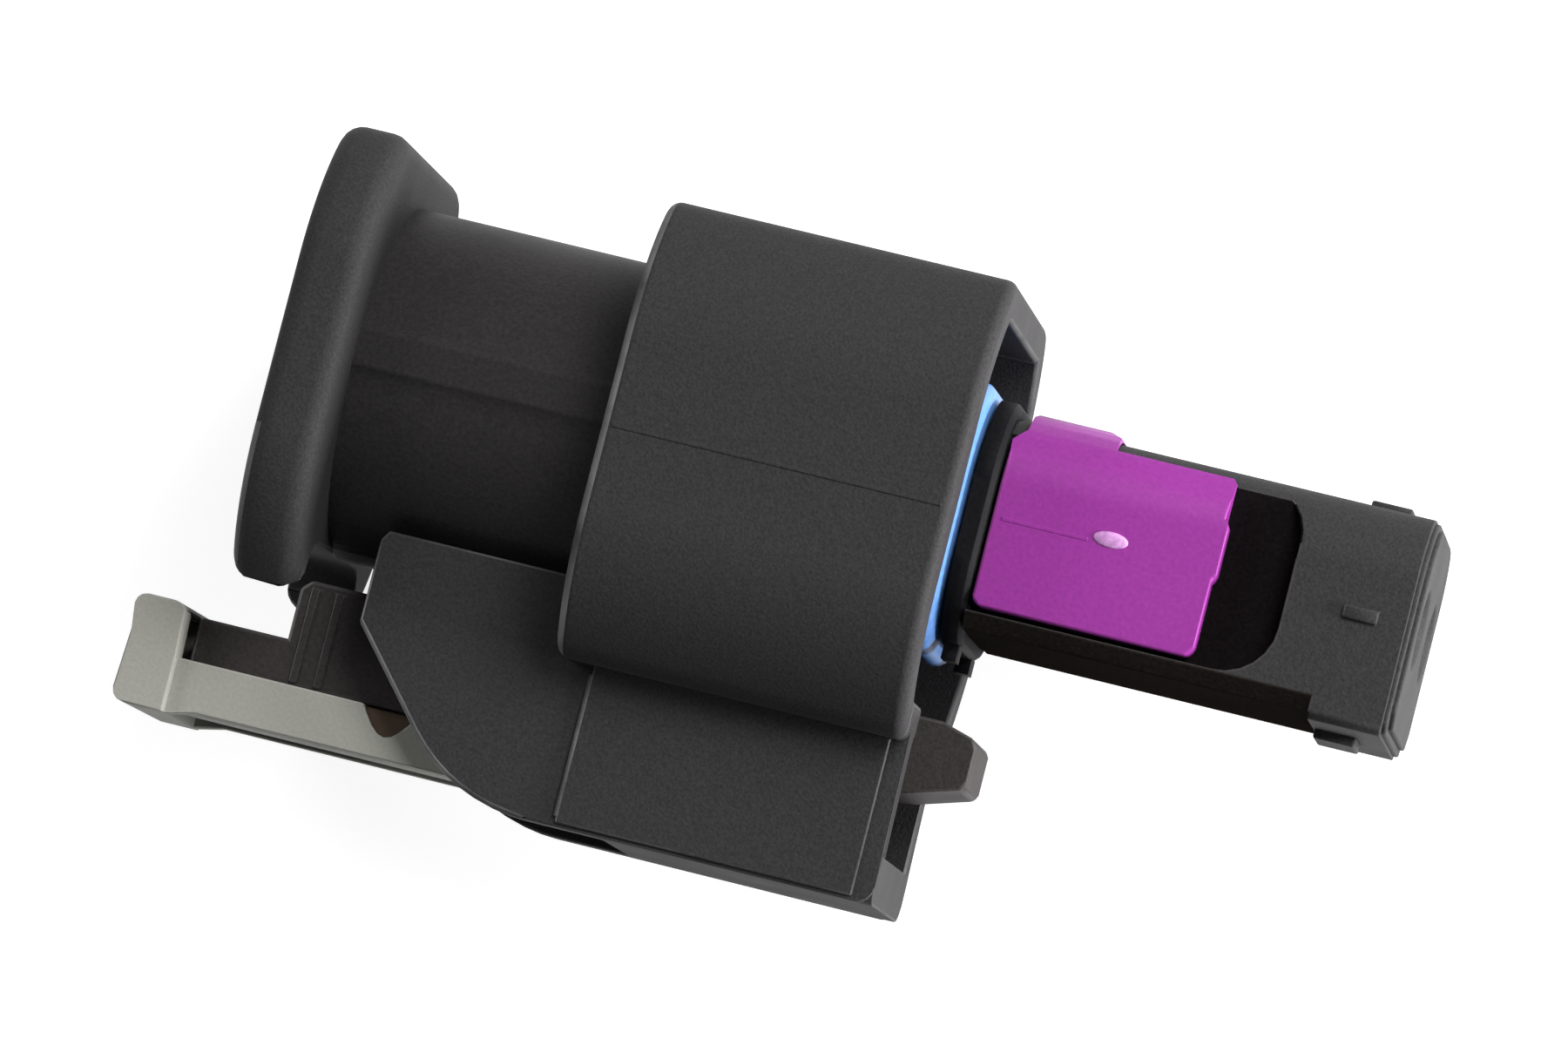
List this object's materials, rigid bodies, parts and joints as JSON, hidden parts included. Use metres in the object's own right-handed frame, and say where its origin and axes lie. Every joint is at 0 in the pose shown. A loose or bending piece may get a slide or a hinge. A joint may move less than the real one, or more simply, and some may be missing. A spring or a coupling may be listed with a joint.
{
  "type": "sealed automotive connector",
  "caption": "Sealed wire connector: hooded housing with a long nose, ring seal, contact lock, rocking lock lever and position slide.",
  "frame": {"origin": "middle of the nose's front face, on the mating axis", "axes": "+X along the mating axis out of the nose, -Y towards the lock lever, +Z across the two contacts; the part rests on its -Z side"},
  "size_m": [0.037, 0.0186, 0.015],
  "materials": {
    "housing_black": "fine moulded texture",
    "seal_blue": "satin silicone",
    "ring_black": "satin",
    "lock_purple": "satin",
    "lever_black": "satin",
    "slide_white": "satin natural plastic",
    "contact_bronze": "tinned bronze",
    "cage_steel": "bright strip"
  },
  "bodies": {
    "body": {"housing": "housing_black", "interface_seal": "seal_blue", "seal_retainer": "ring_black", "wire_seal_left": "seal_blue", "wire_seal_right": "seal_blue", "contact_left": "contact_bronze", "contact_right": "contact_bronze", "contact_cage_left": "cage_steel", "contact_cage_right": "cage_steel"},
    "lever": {"lock_lever": "lever_black"},
    "slide": {"position_slide": "slide_white"},
    "clip": {"contact_lock": "lock_purple"}
  },
  "joints": [
    {"name": "lever_rock", "type": "hinge", "parent": "body", "child": "lever", "pos_m": [-0.0225, -0.008, 0], "axis": [0, 0, -1], "range_deg": [0, 4], "stiffness_Nm_per_rad": 0.5},
    {"name": "slide_push", "type": "slide", "parent": "lever", "child": "slide", "axis": [1, 0, 0], "range_m": [0, 0.0013]},
    {"name": "clip_push", "type": "slide", "parent": "body", "child": "clip", "axis": [1, 0, 0], "range_m": [0, 0.0013]}
  ]
}
